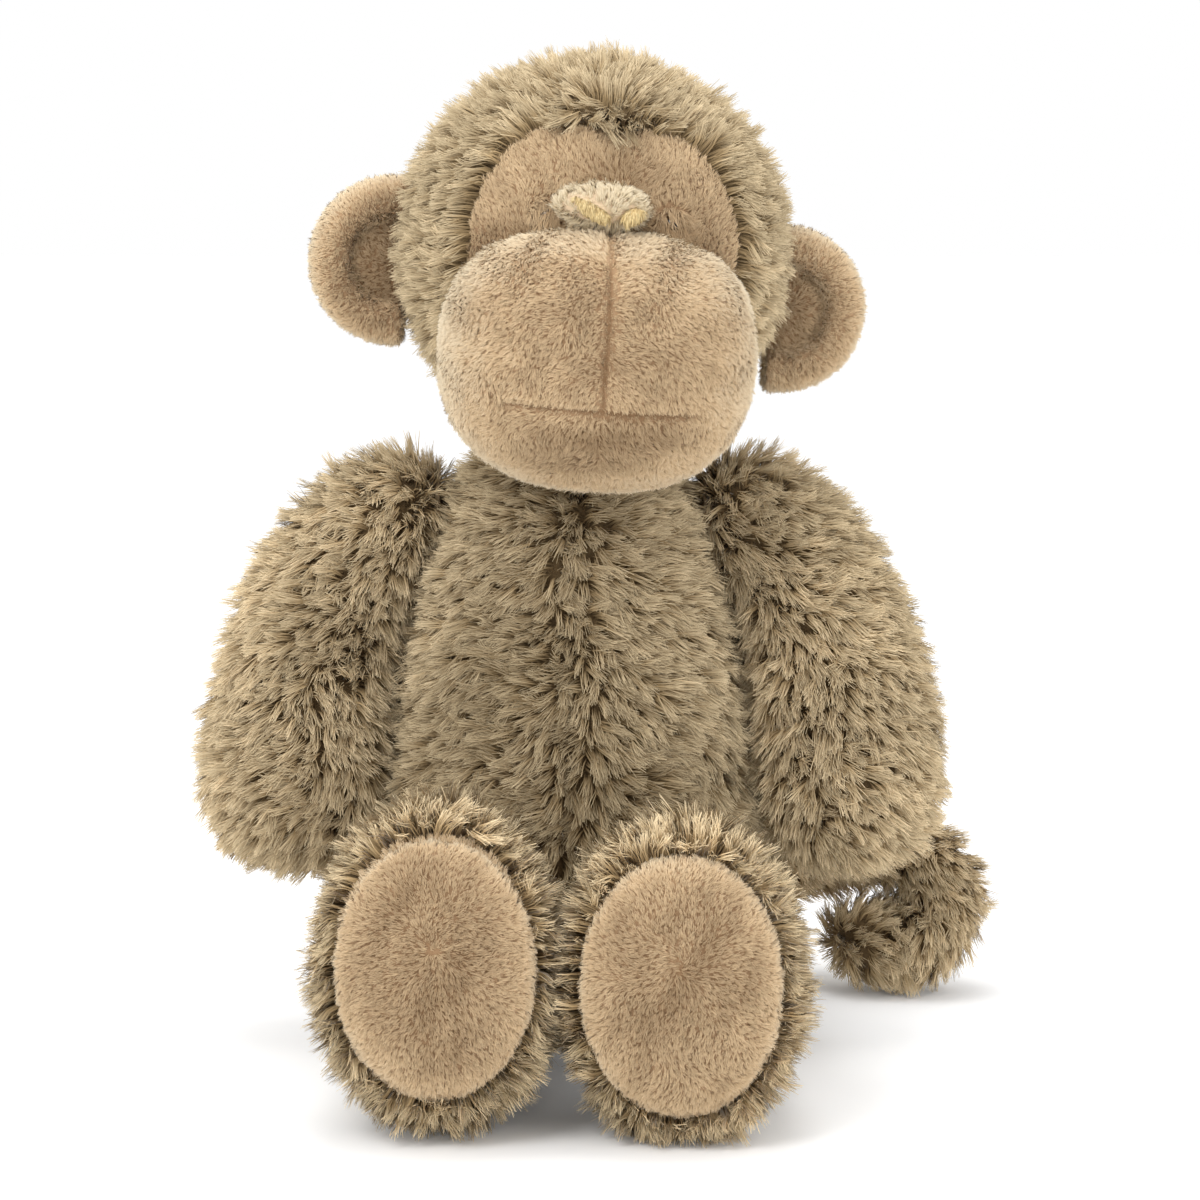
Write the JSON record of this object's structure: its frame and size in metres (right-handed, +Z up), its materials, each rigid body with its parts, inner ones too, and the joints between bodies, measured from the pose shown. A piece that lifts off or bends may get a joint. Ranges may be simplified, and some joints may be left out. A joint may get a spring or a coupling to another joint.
{
  "type": "stuffed monkey",
  "caption": "Seated plush monkey in long pile fabric with short pile muzzle, face, ears and soles; head, arms, legs, ears and tail swing on their seams.",
  "frame": {"origin": "middle of the torso's flat seat, on the floor", "axes": "+Z up, the monkey faces -Y, its own left side is +X"},
  "size_m": [0.2199, 0.2248, 0.2735],
  "materials": {
    "long_pile": "long shaggy pile",
    "short_pile": "short dense pile",
    "nose_pile": "tufted pile",
    "satin_thread": "satin stitch",
    "sewing_thread": "twisted thread",
    "fibre": "matted fibre",
    "pouch_cloth": "plain weave",
    "pellets": "matt",
    "eye_plastic": "polished",
    "washer_plastic": "matt"
  },
  "bodies": {
    "torso": {"torso_front_left": "long_pile", "torso_front_right": "long_pile", "torso_back_left": "long_pile", "torso_back_right": "long_pile", "torso_base": "long_pile", "torso_stuffing": "fibre", "seat_pouch": "pouch_cloth", "seat_pellets": "pellets", "tail_stitching": "sewing_thread"},
    "neck": {"neck_stitching": "sewing_thread"},
    "head": {"head_left": "long_pile", "head_right": "long_pile", "head_gusset": "long_pile", "head_stuffing": "fibre", "face_mask": "short_pile", "muzzle_upper_left": "short_pile", "muzzle_upper_right": "short_pile", "muzzle_lower": "short_pile", "muzzle_stuffing": "fibre", "nose_patch": "nose_pile", "nostril_left": "satin_thread", "nostril_right": "satin_thread", "eye_left": "eye_plastic", "eye_right": "eye_plastic", "eye_washer_left": "washer_plastic", "eye_washer_right": "washer_plastic"},
    "tail": {"tail_upper": "long_pile", "tail_under": "long_pile", "tail_stuffing": "fibre"},
    "ear_left": {"ear_left_front": "short_pile", "ear_left_back": "short_pile", "ear_left_wadding": "fibre"},
    "shoulder_left": {"shoulder_left_stitching": "sewing_thread"},
    "arm_left": {"arm_left_front": "long_pile", "arm_left_back": "long_pile", "arm_left_stuffing": "fibre"},
    "hip_left": {"hip_left_stitching": "sewing_thread"},
    "leg_left": {"leg_left_inner": "long_pile", "leg_left_outer": "long_pile", "leg_left_stuffing": "fibre", "sole_left": "short_pile"},
    "ear_right": {"ear_right_front": "short_pile", "ear_right_back": "short_pile", "ear_right_wadding": "fibre"},
    "shoulder_right": {"shoulder_right_stitching": "sewing_thread"},
    "arm_right": {"arm_right_front": "long_pile", "arm_right_back": "long_pile", "arm_right_stuffing": "fibre"},
    "hip_right": {"hip_right_stitching": "sewing_thread"},
    "leg_right": {"leg_right_inner": "long_pile", "leg_right_outer": "long_pile", "leg_right_stuffing": "fibre", "sole_right": "short_pile"}
  },
  "joints": [
    {"name": "head_turn", "type": "hinge", "parent": "torso", "child": "neck", "pos_m": [0.0015, -0.003, 0.1714], "axis": [0, 0, 1], "range_deg": [-35, 35], "stiffness_Nm_per_rad": 1},
    {"name": "head_nod", "type": "hinge", "parent": "neck", "child": "head", "pos_m": [0.0015, -0.003, 0.1714], "axis": [1, 0, 0], "range_deg": [-12, 8], "stiffness_Nm_per_rad": 2},
    {"name": "tail_wag", "type": "hinge", "parent": "torso", "child": "tail", "pos_m": [0.0101, 0.0473, 0.019], "axis": [0, 0, 1], "range_deg": [-10, 75], "stiffness_Nm_per_rad": 0.3},
    {"name": "arm_left_swing", "type": "hinge", "parent": "torso", "child": "shoulder_left", "pos_m": [0.0529, 0, 0.147], "axis": [-1, 0, 0], "range_deg": [-40, 55], "stiffness_Nm_per_rad": 0.5},
    {"name": "arm_left_lift", "type": "hinge", "parent": "shoulder_left", "child": "arm_left", "pos_m": [0.0529, 0, 0.147], "axis": [0, -1, 0], "range_deg": [-2, 50], "stiffness_Nm_per_rad": 0.8},
    {"name": "leg_left_swing", "type": "hinge", "parent": "torso", "child": "hip_left", "pos_m": [0.033, -0.053, 0.021], "axis": [-1, 0, 0], "range_deg": [-60, 55], "stiffness_Nm_per_rad": 0.8},
    {"name": "leg_left_spread", "type": "hinge", "parent": "hip_left", "child": "leg_left", "pos_m": [0.033, -0.053, 0.021], "axis": [0, 0, 1], "range_deg": [0, 30], "stiffness_Nm_per_rad": 0.8},
    {"name": "ear_left_fold", "type": "hinge", "parent": "head", "child": "ear_left", "pos_m": [0.05623, -0.00197, 0.20691], "axis": [0.0754, -0.0634, 0.9951], "range_deg": [-20, 20], "stiffness_Nm_per_rad": 0.02},
    {"name": "arm_right_swing", "type": "hinge", "parent": "torso", "child": "shoulder_right", "pos_m": [-0.0529, 0, 0.147], "axis": [-1, 0, 0], "range_deg": [-40, 55], "stiffness_Nm_per_rad": 0.5},
    {"name": "arm_right_lift", "type": "hinge", "parent": "shoulder_right", "child": "arm_right", "pos_m": [-0.0529, 0, 0.147], "axis": [0, 1, 0], "range_deg": [-2, 50], "stiffness_Nm_per_rad": 0.8},
    {"name": "leg_right_swing", "type": "hinge", "parent": "torso", "child": "hip_right", "pos_m": [-0.033, -0.053, 0.021], "axis": [-1, 0, 0], "range_deg": [-60, 55], "stiffness_Nm_per_rad": 0.8},
    {"name": "leg_right_spread", "type": "hinge", "parent": "hip_right", "child": "leg_right", "pos_m": [-0.033, -0.053, 0.021], "axis": [0, 0, -1], "range_deg": [0, 30], "stiffness_Nm_per_rad": 0.8},
    {"name": "ear_right_fold", "type": "hinge", "parent": "head", "child": "ear_right", "pos_m": [-0.04664, -0.01142, 0.22053], "axis": [-0.0754, 0.0634, -0.9951], "range_deg": [-20, 20], "stiffness_Nm_per_rad": 0.02}
  ]
}
